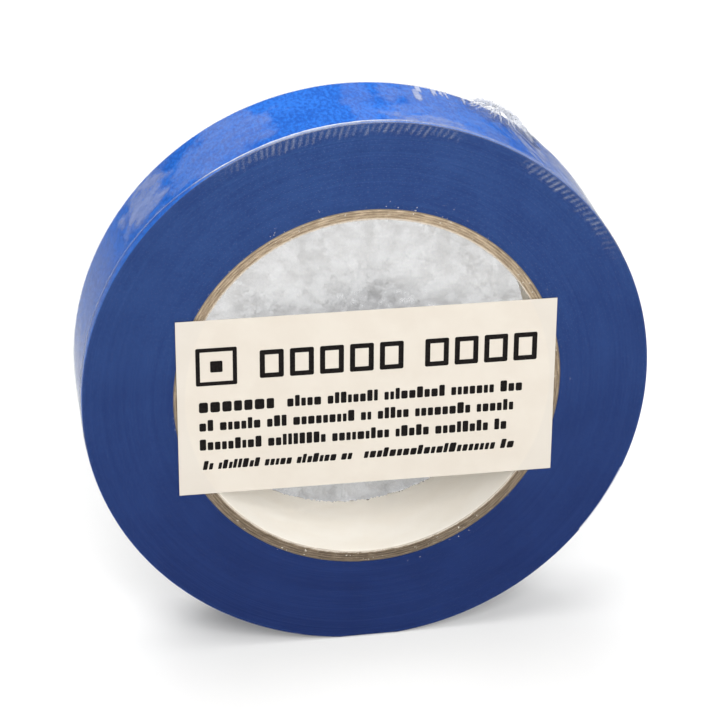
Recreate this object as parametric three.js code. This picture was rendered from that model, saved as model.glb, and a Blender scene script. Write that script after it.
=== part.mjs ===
// A roll of blue masking tape on a paperboard core, shrink-wrapped in clear film, with a paper label.
// Millimetres, +Z up. The roll stands on its rim: its axis runs along Y and the labelled face looks along -Y.
// The origin is on the surface that the roll stands on, midway between the label and the back film.

import * as THREE from 'three';

// Driving dimensions.
const WRAP_DIAMETER = 119.6;
const BORE_DIAMETER = 77;
const WRAP_WIDTH = 23.8; // from the outside of the front film to the outside of the back film
const FILM_THICKNESS = 0.15;
const FILM_CLEARANCE = 0.05; // between the film and the tape all round
const TAPE_THICKNESS = 0.13;
const LINER_THICKNESS = 0.35;
const PLY_THICKNESS = 0.5;
const PLY_COUNT = 4;
const LAYER_GAP = 0.01; // between layers that are wound or glued on each other
const CORE_RECESS = 0.1; // how far each end of the core lies below the tape's edges
const FRONT_FOLD_DEPTH = 3; // how far the front film folds over the rim, to the heat seal
const SEAL_WIDTH = 0.6;
const SEAL_GAP = 0.05; // from the seal to the film on each side of it
const LABEL_LENGTH = 79.6;
const LABEL_HEIGHT = 40;
const LABEL_THICKNESS = 0.12;
const LABEL_GAP = 0.02; // the film of glue behind the label
const LABEL_DROP = 1.7; // how far the label's middle lies below the roll's axis
const GATHER_HEIGHT = 0.55;
const GATHER_LENGTH = 13; // along the roll's axis, from the back rim
const GATHER_BACK_MARGIN = 1; // from the gather to the back face

// Every round outline has the same facets. At the very bottom three of them lie in one plane, which is
// the slight flat that a soft roll gets where it stands.
const FACETS = 88;
const FACET_ANGLE = (2 * Math.PI) / FACETS;
const FLAT_HALF_ANGLE = 1.5 * FACET_ANGLE;
const FREE_END_FACET = 31; // the cut end of the tape, low on the right seen from the front
const FREE_END_GAP_FACETS = 4; // bare stretch between the cut end and the turn below it
const GATHER_FIRST_FACET = 6;
const GATHER_FACETS = 8;

// Sizes that follow from them.
const wrapRadius = WRAP_DIAMETER / 2;
const filmInnerRadius = wrapRadius - FILM_THICKNESS;
const tapeRadius = filmInnerRadius - FILM_CLEARANCE;
const lastTurnInnerRadius = tapeRadius - TAPE_THICKNESS;
const windingRadius = lastTurnInnerRadius - LAYER_GAP;
const boreRadius = BORE_DIAMETER / 2;
const linerRadius = boreRadius + LINER_THICKNESS;
const coreRadius = linerRadius + PLY_COUNT * (LAYER_GAP + PLY_THICKNESS);
const windingInnerRadius = coreRadius + LAYER_GAP;

const labelStack = LABEL_THICKNESS + LABEL_GAP;
const frontY = labelStack / 2 - WRAP_WIDTH / 2;
const backY = frontY + WRAP_WIDTH;
const tapeFrontY = frontY + FILM_THICKNESS + FILM_CLEARANCE;
const tapeBackY = backY - FILM_THICKNESS - FILM_CLEARANCE;
const sealFrontY = frontY + FRONT_FOLD_DEPTH + SEAL_GAP;
const sealBackY = sealFrontY + SEAL_WIDTH;
const backLipY = sealBackY + SEAL_GAP;
const axisHeight = wrapRadius * Math.cos(FLAT_HALF_ANGLE);

// The corner between two facets, counted from the top towards +X.
function cornerAngle(index) {
  return (index + 0.5) * FACET_ANGLE;
}

// How far out a corner of the tape or the film lies at an angle from the top, as a share of its radius.
function flatness(angle) {
  const fromBottom = Math.abs(angle - Math.PI);
  return fromBottom < FLAT_HALF_ANGLE ? Math.cos(FLAT_HALF_ANGLE) / Math.cos(fromBottom) : 1;
}

// A solid of revolution about the roll's axis, from [radius, y] corners. All but the core has the flat.
function turned(corners) {
  const profile = corners.map(([radius, y]) => new THREE.Vector2(radius, y));
  const geometry = new THREE.LatheGeometry(profile, FACETS, cornerAngle(0));
  const points = geometry.getAttribute('position');
  for (let i = 0; i < points.count; i += 1) {
    const x = points.getX(i);
    const z = points.getZ(i);
    if (Math.hypot(x, z) > windingInnerRadius + LAYER_GAP) {
      const share = flatness((Math.atan2(x, z) + 2 * Math.PI) % (2 * Math.PI));
      points.setXYZ(i, x * share, points.getY(i), z * share);
    }
  }
  return geometry;
}

// A ring of rectangular section.
function ring(innerRadius, outerRadius, nearY, farY) {
  return turned([
    [innerRadius, nearY],
    [outerRadius, nearY],
    [outerRadius, farY],
    [innerRadius, farY],
    [innerRadius, nearY],
  ]);
}

// A band that follows the facets for part of a turn. Its height above innerRadius is given by a function
// of how far along the band it is, from 0 to 1.
function band(firstCorner, facets, innerRadius, heightAt, nearY, farY) {
  const inside = [];
  const outside = [];
  for (let step = 0; step <= facets; step += 1) {
    const angle = cornerAngle((firstCorner + step) % FACETS);
    const share = flatness(angle);
    const outerRadius = innerRadius + heightAt(step / facets);
    const outward = new THREE.Vector2(Math.sin(angle), Math.cos(angle));
    inside.push(outward.clone().multiplyScalar(innerRadius * share));
    outside.push(outward.clone().multiplyScalar(outerRadius * share));
  }
  const outline = [...outside, ...inside.reverse()];
  const distinct = outline.filter((point, i) => point.distanceTo(outline.at(i - 1)) > LAYER_GAP / 2);
  const geometry = new THREE.ExtrudeGeometry(new THREE.Shape(distinct), {
    depth: farY - nearY,
    bevelEnabled: false,
  });
  geometry.rotateX(Math.PI / 2); // the outline's up becomes +Z, and its depth runs along -Y
  geometry.translate(0, farY, 0);
  return geometry;
}

function part(name, geometry, color, roughness, extra = {}) {
  const material = new THREE.MeshStandardMaterial({ color, roughness, metalness: 0, ...extra });
  const mesh = new THREE.Mesh(geometry, material);
  mesh.name = name;
  return mesh;
}

// The core: a smooth white liner strip in the bore, under plies of brown paperboard.
function makeCore() {
  const core = new THREE.Group();
  const nearY = tapeFrontY + CORE_RECESS;
  const farY = tapeBackY - CORE_RECESS;
  core.add(part('core_liner', ring(boreRadius, linerRadius, nearY, farY), 0xf0e8dc, 0.7));
  let innerRadius = linerRadius;
  for (let ply = 1; ply <= PLY_COUNT; ply += 1) {
    innerRadius += LAYER_GAP;
    const board = ring(innerRadius, innerRadius + PLY_THICKNESS, nearY, farY);
    core.add(part(`core_ply_${ply}`, board, 0xa58764, 0.9));
    innerRadius += PLY_THICKNESS;
  }
  return core;
}

// The tape: all the inner turns as one ring, and the outermost turn with its square-cut free end.
function makeTape() {
  const tape = new THREE.Group();
  const winding = ring(windingInnerRadius, windingRadius, tapeFrontY, tapeBackY);
  tape.add(part('tape_winding', winding, 0x2f4c8f, 0.8));
  const lastTurn = band(
    FREE_END_FACET,
    FACETS - FREE_END_GAP_FACETS,
    lastTurnInnerRadius,
    () => TAPE_THICKNESS,
    tapeFrontY,
    tapeBackY,
  );
  tape.add(part('tape_last_turn', lastTurn, 0x2f66d8, 0.6));
  return tape;
}

// The shrink film: a sheet over each face, which meet in a heat seal round the tread near the front rim.
function makeWrap() {
  const wrap = new THREE.Group();
  const clear = { transparent: true, opacity: 0.3 };
  const foldEndY = frontY + FRONT_FOLD_DEPTH;
  const frontSheet = turned([
    [0, frontY],
    [wrapRadius, frontY],
    [wrapRadius, foldEndY],
    [filmInnerRadius, foldEndY],
    [filmInnerRadius, frontY + FILM_THICKNESS],
    [0, frontY + FILM_THICKNESS],
  ]);
  wrap.add(part('wrap_front', frontSheet, 0xe8eef8, 0.15, clear));
  const backSheet = turned([
    [0, backY - FILM_THICKNESS],
    [filmInnerRadius, backY - FILM_THICKNESS],
    [filmInnerRadius, backLipY],
    [wrapRadius, backLipY],
    [wrapRadius, backY],
    [0, backY],
  ]);
  wrap.add(part('wrap_back', backSheet, 0xe8eef8, 0.15, clear));
  const seal = ring(filmInnerRadius, wrapRadius, sealFrontY, sealBackY);
  wrap.add(part('wrap_seal', seal, 0xf4f6fc, 0.25, clear));
  wrap.add(makeGather());
  return wrap;
}

// The low ear of bunched film where the surplus shrank together, on the tread beside the back rim.
function makeGather() {
  const farY = backY - GATHER_BACK_MARGIN;
  const swell = (along) => GATHER_HEIGHT * Math.sin(Math.PI * along);
  const restingRadius = wrapRadius + LAYER_GAP;
  const ear = band(GATHER_FIRST_FACET, GATHER_FACETS, restingRadius, swell, farY - GATHER_LENGTH, farY);
  return part('wrap_gather', ear, 0xdfe3f2, 0.35);
}

function makeLabel() {
  const sheet = new THREE.BoxGeometry(LABEL_LENGTH, LABEL_THICKNESS, LABEL_HEIGHT);
  const label = part('label', sheet, 0xf2eade, 0.7);
  label.position.set(0, frontY - LABEL_GAP - LABEL_THICKNESS / 2, -LABEL_DROP);
  return label;
}

const roll = new THREE.Group();
roll.position.z = axisHeight;
roll.add(makeCore(), makeTape(), makeWrap(), makeLabel());

export default roll;
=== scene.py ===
"""A shrink-wrapped roll of blue masking tape with a paper label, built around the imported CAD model.

Lengths are in metres in the model's own frame: the roll stands on z = 0, its axis runs along Y and its
labelled face looks along -Y. Angles round the roll are in radians from the top towards +X.
"""

import math

import bpy
import numpy as np
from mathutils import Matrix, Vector


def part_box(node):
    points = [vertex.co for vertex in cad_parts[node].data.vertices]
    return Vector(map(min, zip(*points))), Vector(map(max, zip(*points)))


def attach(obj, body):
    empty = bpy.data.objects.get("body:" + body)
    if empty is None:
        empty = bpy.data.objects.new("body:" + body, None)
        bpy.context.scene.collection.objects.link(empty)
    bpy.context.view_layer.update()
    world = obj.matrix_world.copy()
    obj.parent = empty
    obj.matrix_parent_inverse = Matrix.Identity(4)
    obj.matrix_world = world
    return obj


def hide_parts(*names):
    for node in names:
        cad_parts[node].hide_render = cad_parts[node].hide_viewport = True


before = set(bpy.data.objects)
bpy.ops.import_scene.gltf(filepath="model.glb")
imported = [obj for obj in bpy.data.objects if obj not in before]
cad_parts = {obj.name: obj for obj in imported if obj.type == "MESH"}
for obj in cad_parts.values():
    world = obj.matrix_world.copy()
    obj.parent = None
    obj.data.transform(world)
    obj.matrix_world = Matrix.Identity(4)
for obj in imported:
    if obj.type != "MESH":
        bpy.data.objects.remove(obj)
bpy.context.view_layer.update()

MM = 0.001
TURN = 2 * math.pi


# ---- sizes taken from the frame

def ring_of(node):
    """A CAD ring's inner radius, outer radius, front y and back y."""
    low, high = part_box(node)
    points = np.array([v.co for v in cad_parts[node].data.vertices])
    radii = np.hypot(points[:, 0], points[:, 2] - AXIS_Z)
    return radii.min(), radii.max(), low.y, high.y


def gap_angles(node):
    """The angles where an open CAD band ends and starts again, either side of its bare stretch."""
    points = np.array([v.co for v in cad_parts[node].data.vertices])
    angles = np.unique(np.round(np.arctan2(points[:, 0], points[:, 2] - AXIS_Z) % TURN, 4))
    steps = np.diff(np.append(angles, angles[0] + TURN))
    widest = int(np.argmax(steps))
    return angles[widest], angles[widest] + steps[widest]


LINER_LOW, LINER_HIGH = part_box("core_liner")
AXIS_Z = (LINER_LOW.z + LINER_HIGH.z) / 2
BORE_RADIUS = ring_of("core_liner")[0]
CORE_RADIUS = ring_of("core_ply_4")[1]
FILM_RADIUS = ring_of("wrap_back")[1]
FRONT_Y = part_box("wrap_front")[0].y
BACK_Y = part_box("wrap_back")[1].y
FLAT_Z = {node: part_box(node)[0].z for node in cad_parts}
PLIES = sorted(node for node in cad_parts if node.startswith("core_ply_"))
LABEL_LOW, LABEL_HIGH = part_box("label")


# ---- smooth noise and mesh building

def hashed(cells, seed):
    """A repeatable number from -1 to 1 for each whole-numbered cell."""
    mixed = np.full(cells.shape[:-1], (seed * 2654435761 + 97) & 0xFFFFFFFF, np.uint64)
    for axis, prime in enumerate((73856093, 19349663, 83492791)):
        mixed ^= (cells[..., axis].astype(np.int64) * prime).astype(np.uint64) & np.uint64(0xFFFFFFFF)
        mixed = (mixed * np.uint64(0x9E3779B1)) & np.uint64(0xFFFFFFFF)
        mixed ^= mixed >> np.uint64(15)
    return mixed.astype(float) / 0x7FFFFFFF - 1


def noise(points, cell, seed=0, octaves=1):
    """Smooth value noise from about -1 to 1 at an array of 3D points, with features about one cell wide."""
    total = 0
    for octave in range(octaves):
        scaled = np.asarray(points) / (np.asarray(cell) / 2**octave)
        base = np.floor(scaled)
        share = scaled - base
        share = share * share * (3 - 2 * share)
        value = 0
        for corner in np.ndindex(2, 2, 2):
            weight = np.prod(np.where(corner, share, 1 - share), axis=-1)
            value = value + weight * hashed(base + corner, seed + octave)
        total = total + value / 2**octave
    return total


def smooth(low, high, value):
    """0 below low, 1 above high, and a smooth step between them."""
    share = np.clip((value - low) / (high - low), 0, 1)
    return share * share * (3 - 2 * share)


def bump(centre, half_width, angle):
    """1 at an angle, falling smoothly to 0 at half_width from it, both in degrees from the top."""
    away = np.abs((np.degrees(angle) - centre + 180) % 360 - 180)
    return 1 - smooth(0, half_width, away)


def stacked(*values):
    """Arrays or numbers joined as the components of vectors, on a new last axis."""
    return np.stack(np.broadcast_arrays(*values), axis=-1)


def full_turn(stations):
    """Evenly spaced angles all round the roll, as a column."""
    return (np.arange(stations) * TURN / stations)[:, None]


def around(angle, radius, y):
    """Points on circles about the roll's axis."""
    return stacked(radius * np.sin(angle), y, AXIS_Z + radius * np.cos(angle))


def settled(points, lowest):
    """The points with the flat that the roll's weight gives it: nothing lies below lowest."""
    points = points.copy()
    points[..., 2] = np.maximum(points[..., 2], lowest)
    return points


def scene_object(name, data):
    """An object in the scene."""
    thing = bpy.data.objects.new(name, data)
    bpy.context.scene.collection.objects.link(thing)
    return thing


def mesh_object(name, points, faces, crease_degrees=40):
    """A smooth-shaded mesh in the scene, with an edge kept sharp where it turns by more than the crease."""
    mesh = bpy.data.meshes.new(name)
    mesh.from_pydata(points.reshape(-1, 3).tolist(), [], faces)
    mesh.validate()
    mesh.shade_smooth()
    mesh.set_sharp_from_angle(angle=math.radians(crease_degrees))
    return scene_object(name, mesh)


def grid_faces(rows, columns, wrap_rows, wrap_columns, start=0):
    """Quads over a grid of rows by columns points, joined end to end where it wraps."""
    row = np.arange(rows if wrap_rows else rows - 1)[:, None]
    column = np.arange(columns if wrap_columns else columns - 1)[None, :]
    next_row = (row + 1) % rows
    next_column = (column + 1) % columns
    corners = [
        row * columns + column,
        next_row * columns + column,
        next_row * columns + next_column,
        row * columns + next_column,
    ]
    return (stacked(*corners) + start).reshape(-1, 4).tolist()


def store(piece, name, values):
    """Keeps one number for each vertex, for a material to read."""
    attribute = piece.data.attributes.new(name, "FLOAT", "POINT")
    attribute.data.foreach_set("value", np.asarray(values, np.float32).ravel())


def finish_piece(piece, body, materials, replaced=()):
    """Gives a piece its materials and its body, and hides the CAD nodes that it stands for."""
    for material in materials:
        piece.data.materials.append(material)
    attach(piece, body)
    if replaced:
        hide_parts(*replaced)


# ---- shader building

def new_material(name):
    """An empty material and its node tree."""
    material = bpy.data.materials.new(name)
    material.use_nodes = True
    material.node_tree.nodes.clear()
    return material, material.node_tree


def feed(tree, socket, value):
    """Links a socket to another node's output, or sets its constant."""
    if isinstance(value, bpy.types.NodeSocket):
        tree.links.new(value, socket)
    else:
        socket.default_value = value


def add(tree, kind, inputs=None, **settings):
    """A shader node with its settings, and with its inputs linked or set by name or number."""
    node = tree.nodes.new("ShaderNode" + kind)
    for key, value in settings.items():
        setattr(node, key, value)
    for key, value in (inputs or {}).items():
        feed(tree, node.inputs[key], value)
    return node


def calc(tree, operation, *values):
    """One step of arithmetic."""
    return add(tree, "Math", dict(enumerate(values)), operation=operation).outputs[0]


def weighted(tree, *terms):
    """The sum of values, each given with its weight."""
    total, *others = [calc(tree, "MULTIPLY", value, weight) for value, weight in terms]
    for other in others:
        total = calc(tree, "ADD", total, other)
    return total


def remap(tree, value, low, high, to_low=0.0, to_high=1.0):
    """A smooth step from to_low to to_high as the value goes from low to high."""
    inputs = {"Value": value, "From Min": low, "From Max": high, "To Min": to_low, "To Max": to_high}
    return add(tree, "MapRange", inputs, interpolation_type="SMOOTHSTEP").outputs[0]


def blend_colours(tree, share, first, second):
    """The first colour where share is 0, and the second where it is 1."""
    inputs = {"Factor": share, 6: first, 7: second}
    return add(tree, "Mix", inputs, data_type="RGBA").outputs[2]


def texture(tree, vector, scale, detail=4.0, roughness=0.55):
    """Noise from 0 to 1."""
    inputs = {"Vector": vector, "Scale": scale, "Detail": detail, "Roughness": roughness}
    return add(tree, "TexNoise", inputs).outputs[0]


def stretched(tree, vector, *scales):
    """A vector with a scale of its own along each axis."""
    return add(tree, "VectorMath", {0: vector, 1: scales}, operation="MULTIPLY").outputs[0]


def local_coords(tree):
    """The shaded point in the model's own frame."""
    return add(tree, "TexCoord").outputs["Object"]


def roll_coords(tree):
    """Distance round the rim, distance along the axis and radius, as one vector, and the last two alone."""
    across, along, up = add(tree, "SeparateXYZ", {0: local_coords(tree)}).outputs
    height = calc(tree, "SUBTRACT", up, AXIS_Z)
    angle = calc(tree, "ARCTAN2", across, height)
    squares = [calc(tree, "MULTIPLY", side, side) for side in (across, height)]
    radius = calc(tree, "SQRT", calc(tree, "ADD", *squares))
    arc = calc(tree, "MULTIPLY", angle, FILM_RADIUS)
    joined = add(tree, "CombineXYZ", {0: arc, 1: along, 2: radius})
    return joined.outputs[0], along, radius


def from_floor(tree):
    """0 at the bottom of the roll and 1 at its top."""
    height = add(tree, "SeparateXYZ", {0: local_coords(tree)}).outputs[2]
    return remap(tree, height, 0.0, 2 * AXIS_Z)


def neutral_bounce(tree, colour):
    """The colour as seen, but a dark grey to light that bounces on to the floor, so that the roll's shadow
    stays neutral."""
    bounced = add(tree, "LightPath").outputs["Is Diffuse Ray"]
    return blend_colours(tree, bounced, colour, BOUNCE_GREY)


def relief(tree, height, strength, depth):
    """A normal roughened by a texture, whose bumps are up to depth metres high."""
    inputs = {"Height": height, "Strength": strength, "Distance": depth}
    return add(tree, "Bump", inputs).outputs[0]


def stored(tree, name):
    """A number that the mesh keeps for each vertex."""
    return add(tree, "Attribute", attribute_name=name).outputs["Fac"]


def blend_shaders(tree, share, first, second):
    """The first shader where share is 0, and the second where it is 1."""
    return add(tree, "MixShader", {0: share, 1: first, 2: second}).outputs[0]


def principled(tree, **inputs):
    """A principled shader. An underscore in an input's name stands for a space."""
    named = {key.replace("_", " "): value for key, value in inputs.items()}
    return add(tree, "BsdfPrincipled", named).outputs[0]


def show(tree, shader):
    """Makes a shader the material's surface."""
    add(tree, "OutputMaterial", {"Surface": shader})


# ---- materials

# Colours as linear red, green, blue and alpha, most of them in pairs that a texture mixes.
TAPE_BLUES = ((0.005, 0.105, 0.50, 1), (0.015, 0.180, 0.70, 1))
# The tape edges' navies, a shaded pair for low on the roll and a lit pair for high up: painted shade and
# light.
EDGE_NAVIES_SHADED = ((0.009, 0.022, 0.102, 1), (0.014, 0.034, 0.140, 1))
EDGE_NAVIES_LIT = ((0.018, 0.044, 0.160, 1), (0.029, 0.070, 0.212, 1))
# The board's browns, a shaded pair for low on the roll and a lit pair for high up: painted shade and light.
BOARD_BROWNS_SHADED = ((0.075, 0.052, 0.032, 1), (0.25, 0.19, 0.128, 1))
BOARD_BROWNS_LIT = ((0.24, 0.172, 0.106, 1), (0.69, 0.545, 0.375, 1))
BOARD_SPECK = (0.72, 0.66, 0.56, 1)
# A painted shadow in the gap between the core and the tape.
GAP_SHADOW_GREY = (0.20, 0.175, 0.15, 1)
DUST_GREYS = ((0.55, 0.52, 0.47, 1), (0.85, 0.83, 0.80, 1))
LINER_CREAMS = ((0.86, 0.80, 0.70, 1), (0.89, 0.84, 0.75, 1))
LINER_RAW_END = (0.44, 0.38, 0.31, 1)
LABEL_CREAMS = ((0.645, 0.585, 0.505, 1), (0.67, 0.615, 0.535, 1))
LABEL_OVER_TAPE = (0.60, 0.56, 0.505, 1)
INK_BLACKS = ((0.004, 0.003, 0.003, 1), (0.012, 0.010, 0.009, 1))
FILM_WHITE = (0.90, 0.92, 0.97, 1)
FILM_LILAC = (0.67, 0.74, 0.98, 1)
# The bore's pale milky veil, and a dark veil that paints a shadow.
FILM_BORE_VEIL_AND_SHADOW = ((0.72, 0.72, 0.715, 1), (0.26, 0.262, 0.267, 1))
FILM_TINT = (0.985, 0.99, 1.0, 1)
# The film's tint over the bore: partly the film's own grey, partly painted shade on the floor seen behind it.
FILM_BORE_GREY_AND_SHADE_TINT = (0.87, 0.875, 0.88, 1)
BOUNCE_GREY = (0.05, 0.05, 0.05, 1)
FLOOR_WHITE = (0.80, 0.80, 0.80, 1)
WHITE = (1, 1, 1, 1)


def tape_face_material():
    """The outer side of the tape: saturated blue, creped across the strip, with a satin coat."""
    material, tree = new_material("tape_face")
    vector = roll_coords(tree)[0]
    crepe = texture(tree, stretched(tree, vector, 1500, 700, 1), 1.0, 3.0)
    patches = texture(tree, stretched(tree, vector, 60, 90, 1), 1.0, 3.0)
    tone = remap(tree, weighted(tree, (crepe, 0.7), (patches, 0.3)), 0.40, 0.60)
    colour = neutral_bounce(tree, blend_colours(tree, tone, *TAPE_BLUES))
    rough = remap(tree, patches, 0.3, 0.7, 0.42, 0.58)
    normal = relief(tree, crepe, 0.5, 0.06 * MM)
    show(tree, principled(
        tree, Base_Color=colour, Roughness=rough, Normal=normal, Specular_IOR_Level=0.25
    ))
    return material


def tape_edge_material():
    """The cut edges of the turns: matt navy, with a fine grain and a faint line between turns. Their colour
    holds painted shade: darker towards the floor and lighter towards the top."""
    material, tree = new_material("tape_edges")
    vector = roll_coords(tree)[0]
    turns = texture(tree, stretched(tree, vector, 25, 1, 5200), 1.0, 2.0)
    bands = texture(tree, stretched(tree, vector, 9, 1, 900), 1.0, 3.0)
    grain = texture(tree, local_coords(tree), 2600, 2.0)
    blotches = texture(tree, local_coords(tree), 90, 3.0)
    lines = weighted(tree, (turns, 0.4), (bands, 0.6))
    tone = remap(tree, weighted(tree, (lines, 0.35), (grain, 0.4), (blotches, 0.25)), 0.36, 0.64)
    low = blend_colours(tree, tone, *EDGE_NAVIES_SHADED)
    high = blend_colours(tree, tone, *EDGE_NAVIES_LIT)
    # Painted shade: the navy runs from the shaded pair at the floor to the lit pair at the top.
    colour = neutral_bounce(tree, blend_colours(tree, from_floor(tree), low, high))
    normal = relief(tree, weighted(tree, (turns, 0.7), (grain, 0.3)), 0.35, 0.07 * MM)
    rough = remap(tree, grain, 0.3, 0.7, 0.6, 0.8)
    show(tree, principled(
        tree, Base_Color=colour, Roughness=rough, Normal=normal, Specular_IOR_Level=0.12
    ))
    return material


def board_material():
    """Raw brown paperboard, fibrous and a little different in every ply. Painted shade makes it darker
    towards the floor and lighter at the top, and a painted shadow darkens its outer edge beside the tape.
    """
    material, tree = new_material("core_board")
    vector, _, radius = roll_coords(tree)
    fibres = texture(tree, stretched(tree, vector, 260, 500, 1900), 1.0, 5.0, 0.7)
    specks = texture(tree, local_coords(tree), 1500, 2.0)
    plies_per_metre = (len(PLIES) + 0.6) / (CORE_RADIUS - BORE_RADIUS)
    depth = calc(tree, "SUBTRACT", radius, BORE_RADIUS)
    ply = calc(tree, "FRACT", calc(tree, "MULTIPLY", depth, plies_per_metre))
    tone = remap(tree, weighted(tree, (fibres, 0.75), (ply, 0.25)), 0.3, 0.75)
    low = blend_colours(tree, tone, *BOARD_BROWNS_SHADED)
    high = blend_colours(tree, tone, *BOARD_BROWNS_LIT)
    # Painted shade: darker browns at the floor, lighter at the top.
    colour = blend_colours(tree, from_floor(tree), low, high)
    pale = remap(tree, specks, 0.66, 0.74)
    colour = blend_colours(tree, pale, colour, BOARD_SPECK)
    # Painted shadow along the core's outer edge, in the gap under the tape.
    gap_shadow = remap(tree, radius, CORE_RADIUS - 0.25 * MM, CORE_RADIUS - 0.08 * MM)
    colour = blend_colours(tree, gap_shadow, colour, GAP_SHADOW_GREY)
    normal = relief(tree, fibres, 0.7, 0.1 * MM)
    show(tree, principled(tree, Base_Color=colour, Roughness=0.92, Normal=normal))
    return material


def dust_material():
    """Pale paper fibres."""
    material, tree = new_material("paper_dust")
    fibres = texture(tree, local_coords(tree), 5000, 3.0)
    colour = blend_colours(tree, fibres, *DUST_GREYS)
    normal = relief(tree, fibres, 0.5, 0.03 * MM)
    show(tree, principled(tree, Base_Color=colour, Roughness=0.95, Normal=normal))
    return material


def liner_material():
    """The smooth white paper in the bore, cream in patches."""
    material, tree = new_material("liner_paper")
    vector, along, _ = roll_coords(tree)
    patches = texture(tree, stretched(tree, vector, 60, 160, 1), 1.0, 4.0)
    fibres = texture(tree, local_coords(tree), 1400, 4.0)
    colour = blend_colours(tree, remap(tree, patches, 0.3, 0.7), *LINER_CREAMS)
    middle = (LINER_LOW.y + LINER_HIGH.y) / 2
    from_middle = calc(tree, "ABSOLUTE", calc(tree, "SUBTRACT", along, middle))
    half = (LINER_HIGH.y - LINER_LOW.y) / 2
    raw_end = remap(tree, from_middle, half - 0.6 * MM, half - 0.25 * MM)
    colour = blend_colours(tree, raw_end, colour, LINER_RAW_END)
    normal = relief(tree, fibres, 0.3, 0.06 * MM)
    show(tree, principled(tree, Base_Color=colour, Roughness=0.6, Normal=normal))
    return material


def label_material():
    """Thin cream paper. What lies behind shows through a little: darker over the tape than over the bore."""
    material, tree = new_material("label_paper")
    radius = roll_coords(tree)[2]
    fibres = texture(tree, local_coords(tree), 1300, 5.0, 0.6)
    clouds = texture(tree, local_coords(tree), 140, 3.0)
    over_tape = remap(tree, radius, BORE_RADIUS - 0.3 * MM, BORE_RADIUS + 0.3 * MM)
    colour = blend_colours(tree, remap(tree, clouds, 0.3, 0.7), *LABEL_CREAMS)
    colour = blend_colours(tree, calc(tree, "MULTIPLY", over_tape, 0.35), colour, LABEL_OVER_TAPE)
    normal = relief(tree, fibres, 0.25, 0.05 * MM)
    show(tree, principled(tree, Base_Color=colour, Roughness=0.62, Normal=normal))
    return material


def ink_material():
    """Black ink, a little uneven in colour and gloss."""
    material, tree = new_material("label_ink")
    mottle = texture(tree, local_coords(tree), 2200, 3.0)
    colour = blend_colours(tree, remap(tree, mottle, 0.3, 0.7), *INK_BLACKS)
    rough = remap(tree, mottle, 0.3, 0.7, 0.42, 0.6)
    show(tree, principled(tree, Base_Color=colour, Roughness=rough, Specular_IOR_Level=0.06))
    return material


def film_material(name, veil, bore_veil_and_shadow=None, *, cloud_scale, gloss, ripple):
    """Clear film with a gloss. Its vertices' haze says how far creases and the air under it veil it, and also
    carries painted highlights along the rim and on pleats. Where the bore's veils are given, the film over
    the open bore is tinted grey, partly as painted shade, and its shade mixes a pale veil with a dark veil
    that is a painted shadow."""
    material, tree = new_material(name)
    tint = FILM_TINT
    if bore_veil_and_shadow:
        radius = roll_coords(tree)[2]
        over_tape = remap(tree, radius, CORE_RADIUS - 1.5 * MM, CORE_RADIUS + 0.5 * MM)
        tint = blend_colours(tree, over_tape, FILM_BORE_GREY_AND_SHADE_TINT, tint)
        # The dark veil here is a painted shadow, placed by the film's shade.
        shadowed_bore_veil = blend_colours(tree, stored(tree, "shade"), *bore_veil_and_shadow)
        veil = blend_colours(tree, over_tape, shadowed_bore_veil, veil)
    cloud = texture(tree, local_coords(tree), cloud_scale, 6.0, 0.62)
    fine = texture(tree, local_coords(tree), cloud_scale * 5, 3.0)
    mottle = remap(tree, weighted(tree, (cloud, 0.7), (fine, 0.3)), 0.3, 0.7, 0.65, 1.3)
    veiled = calc(tree, "MULTIPLY", stored(tree, "haze"), mottle)
    veiled = calc(tree, "MINIMUM", veiled, 0.97)
    normal = relief(tree, fine, ripple, 0.06 * MM)
    clear = add(tree, "BsdfTransparent", {"Color": tint}).outputs[0]
    mirror = add(tree, "BsdfAnisotropic", {"Roughness": 0.25, "Normal": normal}).outputs[0]
    shine = add(tree, "Fresnel", {"IOR": gloss, "Normal": normal}).outputs[0]
    smooth_film = blend_shaders(tree, shine, clear, mirror)
    coat = principled(tree, Base_Color=veil, Roughness=0.4, Normal=normal)
    glow = add(tree, "BsdfTranslucent", {"Color": veil}).outputs[0]
    creased = blend_shaders(tree, 0.3, coat, glow)
    show(tree, blend_shaders(tree, veiled, smooth_film, creased))
    return material


# ---- the core

def ragged_ring(name, node, seed, front_tear, back_tear, wall_relief=None, stations=900, wall_steps=4):
    """A paper ring with torn cut ends and slightly rounded corners, which fills its CAD node's place. The
    tears are how ragged each end is, and wall_relief moves its inner wall in or out."""
    inner, outer, near, far = ring_of(node)
    angle = full_turn(stations)
    corner = 0.07 * MM
    across = np.array([[0, 0.3, 0.7, 1.0]]) * (outer - inner - 2 * corner) + inner + corner

    def torn(y, tear):
        spots = around(angle, across, y)
        fluff = np.abs(noise(spots, 0.6 * MM, seed, 2))
        notches = np.abs(noise(spots, 3.5 * MM, seed + 9))
        return tear * (fluff + 0.5 * notches)

    front = near + torn(near, front_tear)
    back = far - torn(far, back_tear)
    share = np.linspace(0, 1, wall_steps)[None, :]
    outer_wall = front[:, 3:] + corner + (back[:, 3:] - front[:, 3:] - 2 * corner) * share
    inner_wall = back[:, :1] - corner - (back[:, :1] - front[:, :1] - 2 * corner) * share
    wall = np.ones((stations, wall_steps))
    inner_radius = inner * wall
    if wall_relief is not None:
        inner_radius = inner_radius + wall_relief(angle, inner_wall)
    ends = np.broadcast_to(across, front.shape)
    radius = np.concatenate([ends, outer * wall, ends[:, ::-1], inner_radius], axis=1)
    y = np.concatenate([front, outer_wall, back[:, ::-1], inner_wall], axis=1)
    faces = grid_faces(stations, y.shape[1], True, True)
    return mesh_object(name, around(angle, radius, y), faces, 50)


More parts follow.
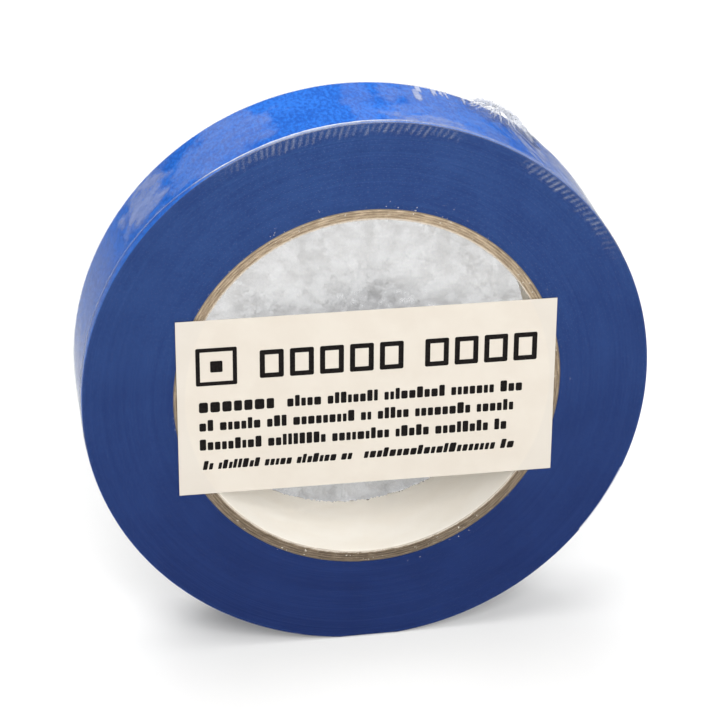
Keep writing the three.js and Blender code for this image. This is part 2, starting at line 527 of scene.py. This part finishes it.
LINER_PITCH = 1.6  # radians of turn for each bore radius along the axis
LINER_START = 2.6  # where the strip's edge crosses y = 0, in radians back from the top


def liner_relief(angle, y):
    """The liner strip winds in a helix: its edge shows as a low step, and the paper is slightly wavy."""
    helix = (y * LINER_PITCH / BORE_RADIUS + angle + LINER_START) % TURN
    step = 0.07 * MM * smooth(0, 0.02, helix) * (1 - smooth(0.02, 1.2, helix))
    waves = 0.05 * MM * noise(around(angle, BORE_RADIUS, y), (9 * MM, 5 * MM, 9 * MM), 40, 2)
    return -step - np.maximum(waves, -0.02 * MM)


DUST_FLECKS = 55
DUST_AT_TOP = 0.6  # the share of the flecks that gather over the top of the core
DUST_SPREAD = 38  # how widely those are spread, in degrees


def make_dust():
    """Flecks of paper dust caught on the tape's edges beside the core, each a low pyramid."""
    rng = np.random.default_rng(11)
    points, faces = [], []
    for _ in range(DUST_FLECKS):
        at_top = rng.random() < DUST_AT_TOP
        angle = rng.normal(0, DUST_SPREAD) if at_top else rng.uniform(-180, 180)
        radius = CORE_RADIUS + (0.15 + rng.exponential(0.6)) * MM
        centre = around(math.radians(angle), radius, FRONT_Y + 0.13 * MM)
        size = rng.uniform(0.04, 0.11) * MM
        first = len(points)
        sides = int(rng.integers(4, 7))
        for side in range(sides):
            turn = side * TURN / sides
            reach = size * rng.uniform(0.6, 1.3)
            proud = rng.uniform(0, 0.03) * MM
            points.append(centre + (reach * math.cos(turn), proud, reach * math.sin(turn)))
        points.append(centre - (0, 0.04 * MM, 0))
        faces += [[first + side, first + (side + 1) % sides, first + sides] for side in range(sides)]
    dust = mesh_object("paper_dust", np.array(points), faces, 180)
    finish_piece(dust, "roll", [dust_material()])


def make_core():
    """The core's plies of board and its liner strip. Returns the liner, for the light that fills the bore."""
    board = board_material()
    for number, node in enumerate(PLIES):
        ply = ragged_ring(node.replace("core", "board"), node, 10 * number + 3, 0.10 * MM, 0.10 * MM)
        finish_piece(ply, "roll", [board], [node])
    liner = ragged_ring(
        "liner_strip", "core_liner", 71, 0.3 * MM, 1.1 * MM, liner_relief, stations=1200, wall_steps=28
    )
    finish_piece(liner, "roll", [liner_material()], ["core_liner"])
    return liner


# ---- the tape

def make_wound_tape(face, edges):
    """All the inner turns: each face shows the edges of the turns, which stand a few hundredths of a
    millimetre in and out of line."""
    inner, outer, near, far = ring_of("tape_winding")
    stations = 288
    turns = 134  # lines of points across the face, about one for each turn
    angle = full_turn(stations)
    radius = np.linspace(inner, outer, turns)
    turn = np.arange(turns)[None, :]
    drift = 1.3  # how many times the offset of a turn changes in a radian
    wander = stacked(turn, drift * np.sin(angle), drift * np.cos(angle))
    single_turns = 0.035 * MM * noise(wander, 1.0, 5)
    groups = 0.05 * MM * noise(wander, (9.0, 1.0, 1.0), 6, 2)
    loose = np.clip(single_turns + groups, -0.07 * MM, 0.04 * MM)
    shoulder = 0.06 * MM * (smooth(turns - 3, turns, turn) + 1 - smooth(0, 3, turn))
    front = around(angle, radius, near - loose + shoulder)
    back = around(angle, radius[::-1], far + loose[:, ::-1] - shoulder)
    points = settled(np.concatenate([front, back], axis=1), FLAT_Z["tape_winding"])
    tape = mesh_object("wound_tape", points, grid_faces(stations, 2 * turns, True, True), 50)
    finish_piece(tape, "roll", [edges, face], ["tape_winding"])
    for number, polygon in enumerate(tape.data.polygons):
        polygon.material_index = int(number % (2 * turns) == turns - 1)


def make_last_turn(face, edges):
    """The outermost turn, with its square-cut free end lifted a hair."""
    inner, outer, near, far = ring_of("tape_last_turn")
    gap_start, gap_stop = gap_angles("tape_last_turn")
    stations = 1500
    angle = np.linspace(gap_stop, gap_start + TURN, stations)[:, None]
    columns = 15
    y = np.linspace(near, far, columns)[None, :]
    lift = 0.03 * MM * (1 - smooth(0, 0.05, angle - angle[0]))
    wave = 0.012 * MM * noise(around(angle, outer, y), (2.2 * MM, 6 * MM, 2.2 * MM), 15, 2)
    outside = around(angle, outer - 0.01 * MM + wave + lift, y)
    inside = around(angle, inner + 0.002 * MM, y[:, ::-1])
    points = settled(np.concatenate([outside, inside], axis=1), FLAT_Z["tape_last_turn"])
    faces = grid_faces(stations, 2 * columns, False, True)
    last = (stations - 1) * 2 * columns
    for column in range(columns - 1):
        opposite = 2 * columns - 1 - column
        faces.append([column + 1, column, opposite, opposite - 1])
        faces.append([last + column, last + column + 1, last + opposite - 1, last + opposite])
    turn = mesh_object("last_turn", points, faces, 50)
    finish_piece(turn, "roll", [face, edges], ["tape_last_turn"])
    for number, polygon in enumerate(turn.data.polygons):
        on_strip = number % (2 * columns) not in (columns - 1, 2 * columns - 1)
        polygon.material_index = int(number >= last or not on_strip)


# ---- the shrink film

FOLD_RADIUS = 0.45 * MM
TREAD_SINK = 0.05 * MM  # how far the film on the tread lies inside its CAD surface
FACE_SINK = 0.06 * MM  # the same on the two faces
PLEAT_SPACING = 1.35  # in degrees round the rim
PLEAT_LEAN = 24  # in degrees away from the radius
PLEAT_WIDTH = 0.24  # as a share of the spacing
PLEAT_LENGTH = 2.9 * MM
SEAM_NEAR = 0.75 * MM
SEAM_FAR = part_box("wrap_seal")[0].y - FRONT_Y + 0.3 * MM


def seam_y(angle):
    """How far back the heat seal runs: close to the front rim over the top, further back elsewhere."""
    over_top = smooth(0, 0.6, bump(8, 78, angle))
    wobble = 0.12 * MM * noise(around(angle, FILM_RADIUS, FRONT_Y), 7 * MM, 51, 2)
    return FRONT_Y + SEAM_FAR + (SEAM_NEAR - SEAM_FAR) * over_top + wobble


def rim_pleats(angle, radius):
    """Fine slanted pleats in the face film just inside the rim, as a height from 0 to 1."""
    depth = FILM_RADIUS - radius
    slid = np.degrees(angle) + np.degrees(depth / FILM_RADIUS * math.tan(math.radians(PLEAT_LEAN)))
    wander = 0.25 * noise(around(angle, FILM_RADIUS, FRONT_Y), 4 * MM, 61)
    phase = slid / PLEAT_SPACING + wander
    index = np.floor(phase + 0.5)
    cell = stacked(index, 0, 0)
    ridge = np.exp(-(((phase - index) / PLEAT_WIDTH) ** 2)) * (0.75 + 0.25 * hashed(cell, 8))
    length = PLEAT_LENGTH * (1 + 0.2 * hashed(cell, 10))
    return ridge * smooth(0.25 * MM, 0.7 * MM, depth) * (1 - smooth(length * 0.7, length, depth))


def pleat_strength(angle):
    """Where the pleats show on the labelled face: over the top, and again further round to the right."""
    degrees = (np.degrees(angle) + 180) % 360 - 180
    over_top = smooth(-34, -22, degrees) * (1 - smooth(15, 21, degrees))
    on_right = smooth(31, 36, degrees) * (1 - smooth(50, 66, degrees))
    return 0.75 * over_top + 1.15 * on_right


def closed_film(name, points, haze, column):
    """A film's mesh from a grid of points round the roll, with its haze. A fan of triangles closes the small
    hole on the roll's axis, beside the grid's first column, 0, or its last, -1."""
    rows, columns = haze.shape
    edge = [row * columns + column % columns for row in range(rows)]
    cap = [[rows * columns, after, here] for here, after in zip(edge, edge[1:] + edge[:1])]
    if column:
        cap = [face[::-1] for face in cap]
    middle = points[:, column].mean(axis=0)
    faces = grid_faces(rows, columns, True, False) + cap
    film = mesh_object(name, np.concatenate([points.reshape(-1, 3), [middle]]), faces, 80)
    store(film, "haze", np.append(haze, haze[0, column]))
    return film


def front_face(angle, radius):
    """The front film's y and haze over the labelled face: taut over the bore, clinging to the tape's edges,
    and pleated inside the rim."""
    spots = around(angle, radius, FRONT_Y)
    over_bore = 1 - smooth(BORE_RADIUS - 4 * MM, BORE_RADIUS, radius)
    taut = 0.10 * MM * noise(spots, (16 * MM, 1, 5 * MM), 21, 3) * over_bore
    cling = 0.025 * MM * noise(spots, 9 * MM, 22, 2) * (1 - over_bore)
    pleats = rim_pleats(angle, radius) * pleat_strength(angle)
    y = FRONT_Y + FACE_SINK + taut + cling - 0.10 * MM * pleats
    clouds = 0.5 + 0.5 * noise(spots, 9 * MM, 24, 3)
    # The pleats' haze is partly the creased film's own white and partly a painted highlight on the ridges.
    return y, 0.015 * over_bore * clouds + 0.20 * pleats


def front_rim(angle, face_y):
    """The front film's radius and y where it folds over the rim, and on along the tread to the seal."""
    turn = np.linspace(0, math.pi / 2, 7)[None, 1:]
    fold_r = FILM_RADIUS - FOLD_RADIUS * (1 - np.sin(turn)) - TREAD_SINK * np.sin(turn)
    fold_y = face_y + FOLD_RADIUS * (1 - np.cos(turn))
    share = np.linspace(0, 1, 6)[None, 1:]
    tread_y = fold_y[:, -1:] + (seam_y(angle) - fold_y[:, -1:]) * share
    ripple = 0.05 * MM * noise(around(angle, FILM_RADIUS, tread_y), (3 * MM, 9 * MM, 3 * MM), 23, 2)
    tread_r = FILM_RADIUS - TREAD_SINK + ripple * np.sin(share * math.pi)
    fold_r = np.broadcast_to(fold_r, fold_y.shape)
    return np.hstack([fold_r, tread_r]), np.hstack([fold_y, tread_y])


def front_film():
    """The labelled face's film: flat over the tape, taut over the bore, folded over the rim to the seal."""
    angle = full_turn(1980)
    pleated = FILM_RADIUS - 5 * MM
    flat = np.concatenate([
        np.linspace(0.4 * MM, BORE_RADIUS, 9),
        np.linspace(BORE_RADIUS, pleated, 6)[1:],
        np.linspace(pleated, FILM_RADIUS - FOLD_RADIUS, 21)[1:],
    ])[None, :]
    face_y, face_haze = front_face(angle, flat)
    rim_r, rim_y = front_rim(angle, face_y[:, -1:])
    radius = np.hstack([np.broadcast_to(flat, face_y.shape), rim_r])
    # A painted highlight: the haze along the rim rises over the top and to the right, where the fold catches
    # the light.
    shine = 0.65 * bump(-14, 26, angle) + 0.35 * bump(20, 62, angle)
    rim_haze_and_highlight = 0.02 + shine * np.linspace(0.3, 1, rim_r.shape[1])
    points = settled(around(angle, radius, np.hstack([face_y, rim_y])), FLAT_Z["wrap_front"])
    return closed_film("front_film", points, np.hstack([face_haze, rim_haze_and_highlight]), 0)


GATHER_SPOT = math.radians(31)
STREAKS_PER_RADIAN = 26  # of direction from the gather, as are the next two
FOLDS_PER_RADIAN = 11
EAR_PLEATS_PER_RADIAN = 6


def from_gather(angle, y):
    """Direction and distance from the point behind the back rim where the film is gathered."""
    along = (angle - GATHER_SPOT) * FILM_RADIUS
    across = y - (BACK_Y + 0.5 * MM)
    return np.arctan2(along, -across), np.hypot(along, across)


def patch(angle, depth, centre, middle, half_width, half_depth, seed):
    """A ragged blotch: 1 inside, 0 outside. Its centre and half width are in degrees, and all its depths are
    shares of the roll's width."""
    away = ((np.degrees(angle) - centre + 180) % 360 - 180) / half_width
    spots = around(angle, FILM_RADIUS, FRONT_Y + depth * (BACK_Y - FRONT_Y))
    edge = np.hypot(away, (depth - middle) / half_depth) + 0.35 * noise(spots, 3.2 * MM, seed, 4)
    return 1 - smooth(0.55, 1.1, edge)


# Where the film has let go of the tread: each blotch's centre, in degrees from the top towards +X, its
# middle, as a share of the roll's width from the front face, its half width and half depth in the same
# units, and how milky the film looks there.
BLOTCHES = (
    (-0.5, 0.60, 3.5, 0.60, 0.10),
    (-29, 0.45, 13, 0.60, 0.17),
    (-48, 0.55, 7.5, 0.50, 0.36),
    (-67, 0.50, 10, 0.48, 0.08),
    (-92, 0.50, 17, 0.60, 0.13),
    (-128, 0.55, 20, 0.60, 0.16),
    (-164, 0.45, 15, 0.60, 0.17),
    (168, 0.50, 15, 0.70, 0.17),
    (128, 0.40, 20, 0.60, 0.14),
    (92, 0.55, 16, 0.70, 0.18),
    (11, 0.05, 10, 0.24, 0.34),
    (17, 0.55, 15, 0.80, 0.17),
    (12.5, 0.74, 0.9, 0.16, 0.75),
)


def tread_haze(angle, y):
    """How milky the film on the tread looks, from 0 to 1: in blotches, in streaks to the right of the gather
    and in short nicks along the back rim."""
    depth = (y - FRONT_Y) / (BACK_Y - FRONT_Y)
    total = 0.01  # even clinging film has a trace of haze
    for number, (centre, middle, half_width, half_depth, strength) in enumerate(BLOTCHES):
        blotch = patch(angle, depth, centre, middle, half_width, half_depth, 101 + number)
        total = np.maximum(total, strength * blotch)
    heading, distance = from_gather(angle, y)
    lines = stacked(heading * STREAKS_PER_RADIAN, distance / (9 * MM), 0)
    streaks = smooth(-0.1, 0.35, noise(lines, 1.0, 33, 3))
    near = 1 - smooth(14 * MM, 38 * MM, distance)
    to_right = smooth(-0.1, 0.5, heading)
    total = np.maximum(total, near * to_right * (0.04 + 0.50 * streaks))
    nick_spacing = 0.55  # in degrees
    rim = stacked(np.degrees(angle) / nick_spacing, 0, 0)
    nick_length = (0.3 + 7.0 * np.maximum(noise(rim, 1.0, 36, 2), 0)) * MM
    nicked = bump(18, 11, angle) > 0.12
    nicks = nicked * (1 - smooth(0.6, 1.1, (BACK_Y - y) / nick_length))
    return np.maximum(total, 0.97 * nicks)


def tread_relief(angle, y):
    """Creases of the film on the tread: long ones that fan out from the gather, and a dimpled cling."""
    spots = around(angle, FILM_RADIUS, y)
    heading, distance = from_gather(angle, y)
    lines = stacked(heading * FOLDS_PER_RADIAN, distance / (7 * MM), 0)
    folds = 1 - 2 * np.abs(noise(lines, 1.0, 34, 3))
    near_gather = (1 - smooth(8 * MM, 32 * MM, distance)) * smooth(0.5 * MM, 3 * MM, distance)
    cling = 0.02 * MM * noise(spots, 2.5 * MM, 35, 2)
    return 0.15 * MM * near_gather * np.maximum(folds, -0.2) + cling


def back_tread(angle, share):
    """The back film's radius and y on the tread, at shares of the way from the seal to the back rim."""
    start = seam_y(angle)
    y = start + (BACK_Y - FOLD_RADIUS - start) * share
    return FILM_RADIUS - TREAD_SINK + tread_relief(angle, y) * smooth(0, 0.08, share), y


def back_face(angle, radius):
    """The back film's y, haze and shade over the back. Over the bore it is milky, with a painted shadow
    shaped like a mound across the middle, standing for the roll's shadow on the floor behind, weaker lower
    down."""
    spots = around(angle, radius, BACK_Y)
    over_bore = 1 - smooth(BORE_RADIUS - 3 * MM, BORE_RADIUS, radius)
    taut = 0.16 * MM * noise(spots, (10 * MM, 1, 6 * MM), 41, 4) * over_bore
    cling = 0.03 * MM * noise(spots, 6 * MM, 42, 2) * (1 - over_bore)
    patchy = smooth(-0.1, 0.7, noise(around(angle, FILM_RADIUS, BACK_Y), 25 * MM, 45))
    pleats = rim_pleats(-angle, radius) * np.maximum(patchy, bump(20, 40, angle))
    y = BACK_Y - FACE_SINK + taut + cling + 0.05 * MM * pleats
    clouds = 0.5 + 0.5 * noise(spots, 8 * MM, 43, 4)
    mound = radius * np.cos(angle) + 0.35 * np.hypot(radius * np.sin(angle) - 3 * MM, 9 * MM)
    # Painted shadow: a dark mound across the bore stands for the roll's shadow on the floor behind, weaker
    # under the label.
    painted_shadow = 1 - smooth(11 * MM, 25 * MM, mound + 3 * MM * noise(spots, 7 * MM, 44, 3))
    lower_down = 1 - smooth(-8 * MM, 4 * MM, radius * np.cos(angle))
    in_bore = radius < BORE_RADIUS + 0.5 * MM
    # The pleats' haze is partly the creased film's own white and partly a painted highlight on the ridges.
    haze = 0.3 * pleats + in_bore * (0.52 + 0.08 * clouds + 0.08 * painted_shadow)
    shade = painted_shadow - 0.45 * lower_down + 0.25 * (clouds - 0.5)
    return y, haze, in_bore * np.clip(shade, 0, 1)


def back_film():
    """The other film: round the tread from the seal, folded over the back rim and taut across the back."""
    angle = full_turn(1080)
    share = 1 - (1 - np.linspace(0, 1, 48)[None, :]) ** 1.5  # closer together towards the back rim
    tread_r, tread_y = back_tread(angle, share)
    turn = np.linspace(0, math.pi / 2, 6)[None, 1:]
    fold_r = tread_r[:, -1:] - FOLD_RADIUS * (1 - np.cos(turn))
    fold_y = np.broadcast_to(BACK_Y - FOLD_RADIUS * (1 - np.sin(turn)), fold_r.shape)
    pleated = FILM_RADIUS - 3.6 * MM
    inward = np.concatenate([
        np.linspace(FILM_RADIUS - 0.7 * MM, pleated, 9),
        np.linspace(pleated, BORE_RADIUS + MM, 6)[1:],
        np.linspace(BORE_RADIUS, 0.4 * MM, 14),
    ])[None, :]
    face_y, face_haze, face_shade = back_face(angle, inward)
    radius = np.hstack([tread_r, fold_r, np.broadcast_to(inward, face_y.shape)])
    points = settled(around(angle, radius, np.hstack([tread_y, fold_y, face_y])), FLAT_Z["wrap_back"])
    milky = tread_haze(angle, tread_y)
    fold_haze = np.broadcast_to(0.7 * milky[:, -1:], fold_y.shape)
    film = closed_film("back_film", points, np.hstack([milky, fold_haze, face_haze]), -1)
    shade = np.hstack([np.zeros(tread_y.shape), np.zeros(fold_y.shape), face_shade])
    store(film, "shade", np.append(shade, shade[0, -1]))
    return film


def seal_bead():
    """The heat seal: a thin melted bead along the seam."""
    stations = 1080
    sides = 8
    angle = full_turn(stations)
    side = full_turn(sides).T
    size = 0.11 * MM * (1 + 0.35 * noise(around(angle, FILM_RADIUS, FRONT_Y), 1.4 * MM, 53, 2))
    radius = FILM_RADIUS - 0.03 * MM + size * np.cos(side)
    y = seam_y(angle) + size * np.sin(side)
    points = settled(around(angle, radius, y), FLAT_Z["wrap_seal"])
    bead = mesh_object("seal_bead", points, grid_faces(stations, sides, True, True), 80)
    # Painted highlight: the bead is whiter over the top, where the rim catches the light.
    white = 0.15 + 0.8 * smooth(0, 0.4, bump(-14, 26, angle))
    store(bead, "haze", white + 0 * side)
    return bead


def film_ear():
    """The bunched surplus at the back rim: a tuft of fine pleats that radiate from one spot."""
    stations, columns = 390, 190
    angle = np.radians(np.linspace(15, 47, stations))[:, None]
    y = np.linspace(BACK_Y - 16 * MM, BACK_Y - 0.1 * MM, columns)[None, :]
    heading, distance = from_gather(angle, y)
    spots = around(angle, FILM_RADIUS, y)
    pleat = stacked(heading * EAR_PLEATS_PER_RADIAN, distance / (5 * MM), 0)
    ridges = 1 - np.abs(noise(pleat, 1.0, 83, 3))
    crush = np.abs(noise(spots, 1.3 * MM, 81, 3))
    reach = (11.5 + 4.0 * noise(stacked(heading * 5, 0, 0), 1.0, 84)) * MM
    edge = 1 - smooth(0.3, 1.0, distance / reach)
    height = (0.15 + ridges**4 + 0.7 * crush + 0.6 * bump(31, 14, angle)) * MM * edge
    points = around(angle, FILM_RADIUS - TREAD_SINK + height, y)
    thinning = 1 - 0.6 * smooth(33, 41, np.degrees(angle))
    # The ridges' white is partly the crushed film's own white and partly a painted highlight.
    bright = smooth(0.66, 1.0, ridges + 0.35 * crush * edge) * thinning
    haze = np.clip((0.18 * edge + 0.55 * bright) * smooth(0.02, 0.3, edge), 0, 1).ravel()
    faces = np.array(grid_faces(stations, columns, False, False))
    faces = faces[haze[faces].max(axis=1) > 0]
    kept = np.unique(faces)
    ear = mesh_object("film_ear", points.reshape(-1, 3)[kept], np.searchsorted(kept, faces).tolist(), 60)
    store(ear, "haze", haze[kept])
    return ear


def make_film():
    """The two films, the seal between them and the ear, in clear, cloudy and crushed film."""
    clear = film_material("clear_film", FILM_WHITE, cloud_scale=420, gloss=1.07, ripple=0.008)
    cloudy = film_material(
        "cloudy_film", FILM_LILAC, FILM_BORE_VEIL_AND_SHADOW, cloud_scale=360, gloss=1.08, ripple=0.02
    )
    crushed = film_material("crushed_film", FILM_WHITE, cloud_scale=900, gloss=1.2, ripple=0.3)
    finish_piece(front_film(), "front_half_wrap", [clear], ["wrap_front"])
    finish_piece(back_film(), "back_half_wrap", [cloudy], ["wrap_back"])
    finish_piece(seal_bead(), "back_half_wrap", [crushed], ["wrap_seal"])
    finish_piece(film_ear(), "back_half_wrap", [crushed], ["wrap_gather"])


# ---- the label

LABEL_TILT = math.radians(0.35)
LABEL_SHIFT = (-0.32 * MM, 0.45 * MM)  # across and up
INK_THICKNESS = 0.012 * MM
GRID = (LABEL_HIGH.x - LABEL_LOW.x) / 80

# The print's layout, on a grid 80 squares wide from the label's top left corner: the square mark's middle
# across and down, size and stroke, and the title's two words, by their left ends and numbers of boxes.
MARK = (8.3, 10.6, 8.6, 0.9)
TITLE_WORDS = ((17.3, 5), (52.1, 4))
TITLE_BASE = 13.9
TITLE_HEIGHT = 6.4
TITLE_PITCH = 6.3
TITLE_STROKE = 1.1

# The lines of small print: left end, right end, base line, height, pitch, slant and the number of blocks in
# each word, or None where it varies.
SMALL_PRINT = (
    (4.5, 21, 21.1, 2.4, 2.1, 0, 7),
    (23, 73.5, 21.0, 2.6, 1.45, 0, None),
    (4.5, 73.5, 25.4, 2.6, 1.45, 0, None),
    (4.5, 71, 29.9, 2.6, 1.45, 0, None),
    (5.2, 37.5, 34.5, 2.1, 1.2, 0.2, None),
    (39.4, 72, 34.5, 2.2, 1.4, 0.2, 21),
)


def stuck_on(points):
    """The label's points as it was stuck on by hand, a third of a degree off level."""
    middle = (LABEL_LOW + LABEL_HIGH) / 2
    x = points[..., 0] - middle.x
    z = points[..., 2] - middle.z
    placed = points.copy()
    placed[..., 0] = middle.x + LABEL_SHIFT[0] + x * math.cos(LABEL_TILT) + z * math.sin(LABEL_TILT)
    placed[..., 2] = middle.z + LABEL_SHIFT[1] + z * math.cos(LABEL_TILT) - x * math.sin(LABEL_TILT)
    return placed


def label_wave(x, z):
    """How far the label's paper stands out of flat. It is never proud of its CAD place."""
    return 0.05 * MM * (1 + noise(stacked(x, 0, z), 22 * MM, 91, 2))


def make_label():
    """A thin sheet of paper with crisp cut edges, whose back is flatter than its front."""
    columns, rows = 121, 61
    x = np.linspace(LABEL_LOW.x, LABEL_HIGH.x, columns)[None, :]
    z = np.linspace(LABEL_HIGH.z, LABEL_LOW.z, rows)[:, None]
    sheets = []
    for y, waviness in ((LABEL_LOW.y, 1), (LABEL_HIGH.y - 0.05 * MM, 0.5)):
        sheets.append(stacked(x, y + waviness * label_wave(x, z), z).reshape(-1, 3))
    faces = grid_faces(rows, columns, False, False)
    faces += [face[::-1] for face in grid_faces(rows, columns, False, False, rows * columns)]
    top = list(range(columns))
    right = [row * columns + columns - 1 for row in range(1, rows)]
    bottom = [(rows - 1) * columns + column for column in range(columns - 2, -1, -1)]
    left = [row * columns for row in range(rows - 2, 0, -1)]
    border = top + right + bottom + left
    for first, second in zip(border, border[1:] + border[:1]):
        faces.append([first, second, second + rows * columns, first + rows * columns])
    label = mesh_object("paper_label", stuck_on(np.concatenate(sheets)), faces)
    finish_piece(label, "front_half_wrap", [label_material()], ["label"])


def rounded_bar(centre_x, centre_z, width, height, corner, slant=0, steps=3):
    """The outline of a bar with round corners. Its middle is given across and down the grid."""
    outline = []
    for quarter, (sign_x, sign_z) in enumerate(((1, 1), (-1, 1), (-1, -1), (1, -1))):
        for step in range(steps + 1):
            turn = (quarter + step / steps) * math.pi / 2
            x = sign_x * (width / 2 - corner) + corner * math.cos(turn)
            z = sign_z * (height / 2 - corner) + corner * math.sin(turn)
            outline.append((centre_x + x + slant * z, -centre_z + z))
    return outline


def frame_bars(centre_x, centre_z, width, height, stroke):
    """An open box drawn with four bars."""
    across = (width - stroke) / 2
    down = (height - stroke) / 2
    sides = [
        (-across, 0, stroke, height),
        (across, 0, stroke, height),
        (0, -down, width, stroke),
        (0, down, width, stroke),
    ]
    return [rounded_bar(centre_x + x, centre_z + z, w, h, 0.35 * stroke) for x, z, w, h in sides]


def square_mark(centre_x, centre_z, size, stroke):
    """A plain square frame with a small solid square inside."""
    dot = 0.3 * size
    middle = rounded_bar(centre_x, centre_z, dot, dot, 0.1 * dot)
    return frame_bars(centre_x, centre_z, size, size, stroke) + [middle]


def title_boxes(left, count):
    """A word of the title, as open boxes in a row."""
    width = 0.8 * TITLE_PITCH
    middle = TITLE_BASE - TITLE_HEIGHT / 2
    outlines = []
    for number in range(count):
        centre = left + number * TITLE_PITCH + width / 2
        outlines += frame_bars(centre, middle, width, TITLE_HEIGHT, TITLE_STROKE)
    return outlines


def word_blocks(rng, left, right, base, tall, pitch, slant, letters):
    """A line of words made of plain solid blocks, all standing on one base line. Short words of a fixed
    length are bold."""
    bold = letters is not None and letters < 10
    outlines = []
    x = left
    while x < right - 2 * pitch:
        count = letters or int(rng.integers(2, 10))
        for _ in range(count):
            width = pitch * rng.uniform(0.75 if bold else 0.55, 1.0)
            height = tall if bold or rng.random() < 0.3 else 0.72 * tall
            if x + width > right:
                break
            outlines.append(rounded_bar(x + width / 2, base - height / 2, width, height, 0.22 * width, slant))
            x += width + 0.22 * pitch
        x += 0.75 * pitch
    return outlines


def raised_ink(outlines):
    """Points and faces of a thin solid skin of ink on the label's front, one for each outline."""
    points, faces = [], []
    for outline in outlines:
        first = len(points)
        count = len(outline)
        for level in (0, 1):
            for across, up in outline:
                x = LABEL_LOW.x + across * GRID
                z = LABEL_HIGH.z + up * GRID
                lift = float(label_wave(x, z)) - INK_THICKNESS * (level + 0.2)
                points.append((x, LABEL_LOW.y + lift, z))
        faces.append([first + count + i for i in range(count)])
        faces.append([first + i for i in reversed(range(count))])
        for i in range(count):
            j = (i + 1) % count
            faces.append([first + i, first + j, first + count + j, first + count + i])
    return np.array(points), faces


def make_print():
    """The print has no lettering: blocks stand for the words, in a generic layout of five lines."""
    rng = np.random.default_rng(7)
    outlines = square_mark(*MARK)
    for word in TITLE_WORDS:
        outlines += title_boxes(*word)
    for line in SMALL_PRINT:
        outlines += word_blocks(rng, *line)
    points, faces = raised_ink(outlines)
    ink = mesh_object("label_print", stuck_on(points), faces)
    finish_piece(ink, "front_half_wrap", [ink_material()])


# ---- floor, light and camera

def make_floor():
    """A wide sheet of matt white paper that glows a little, so that it looks white to its edges."""
    half = 4.0
    corners = np.array([(-half, -half, 0), (half, -half, 0), (half, half, 0), (-half, half, 0)])
    floor = mesh_object("floor", corners, [(0, 1, 2, 3)])
    material, tree = new_material("floor_paper")
    show(tree, principled(
        tree, Base_Color=FLOOR_WHITE, Roughness=0.9, Specular_IOR_Level=0.1,
        Emission_Color=WHITE, Emission_Strength=0.14
    ))
    floor.data.materials.append(material)


def softbox(name, place, aim, size, power, spread=180, shiny=True):
    """A rectangular light of a width and height, turned towards an aim. Its power is in watts and its spread
    in degrees. One that isn't shiny makes no reflections."""
    light = bpy.data.lights.new(name, "AREA")
    light.shape = "RECTANGLE"
    light.size, light.size_y = size
    light.energy = power
    light.spread = math.radians(spread)
    lamp = scene_object(name, light)
    lamp.location = place
    lamp.visible_glossy = shiny
    lamp.rotation_euler = (Vector(aim) - Vector(place)).to_track_quat("-Z", "Y").to_euler()
    return lamp


def make_lights(liner):
    """A key light in front and above, a wide box overhead, a wash that keeps the far floor white, and a
    weak fill that only the liner receives, deep in the bore."""
    world = bpy.data.worlds.new("studio")
    world.use_nodes = True
    background = world.node_tree.nodes["Background"].inputs
    background["Color"].default_value = WHITE
    background["Strength"].default_value = 0.15
    bpy.context.scene.world = world
    middle = (0, 0, AXIS_Z)
    softbox("key_light", (0.10, -0.80, 0.65), middle, (0.55, 0.55), 8.0)
    softbox("overhead_light", (-0.15, 0.05, 0.90), middle, (1.3, 0.7), 7.5, shiny=False)
    softbox("floor_wash", (0, 1.5, 1.2), (0, 1.3, 0), (2.2, 1.2), 14.0, spread=110, shiny=False)
    fill = softbox("liner_fill", (0.22, -0.75, 0.32), middle, (0.9, 0.4), 5.0, shiny=False)
    only_liner = bpy.data.collections.new("only_liner")
    only_liner.objects.link(liner)
    fill.light_linking.receiver_collection = only_liner


CAMERA_AZIMUTH = math.radians(-9.58)
CAMERA_ELEVATION = math.radians(25.9)
CAMERA_DISTANCE = 9.318  # in roll radii, as is the aim
CAMERA_AIM = (0.0029, 0.0085, 0.0226)  # from the middle of the roll
CAMERA_LENS = 131.3  # the focal length in millimetres, for a sensor 36 mm wide


def make_camera():
    """A long lens in front of the roll, a little to the left, which looks down on it."""
    middle = Vector((0, (FRONT_Y + BACK_Y) / 2, AXIS_Z))
    aim = Vector(CAMERA_AIM) * FILM_RADIUS + middle
    away = Vector((
        math.sin(CAMERA_AZIMUTH) * math.cos(CAMERA_ELEVATION),
        -math.cos(CAMERA_AZIMUTH) * math.cos(CAMERA_ELEVATION),
        math.sin(CAMERA_ELEVATION),
    ))
    data = bpy.data.cameras.new("camera")
    data.sensor_width = 36.0
    data.lens = CAMERA_LENS
    data.clip_start = 0.01
    camera = scene_object("camera", data)
    camera.location = aim + away * (CAMERA_DISTANCE * FILM_RADIUS)
    camera.rotation_euler = (-away).to_track_quat("-Z", "Y").to_euler()
    bpy.context.scene.camera = camera


make_camera()
make_floor()
make_lights(make_core())
make_dust()
tape_face, tape_edges = tape_face_material(), tape_edge_material()
make_wound_tape(tape_face, tape_edges)
make_last_turn(tape_face, tape_edges)
make_film()
make_label()
make_print()
bpy.context.scene.view_settings.view_transform = "Standard"
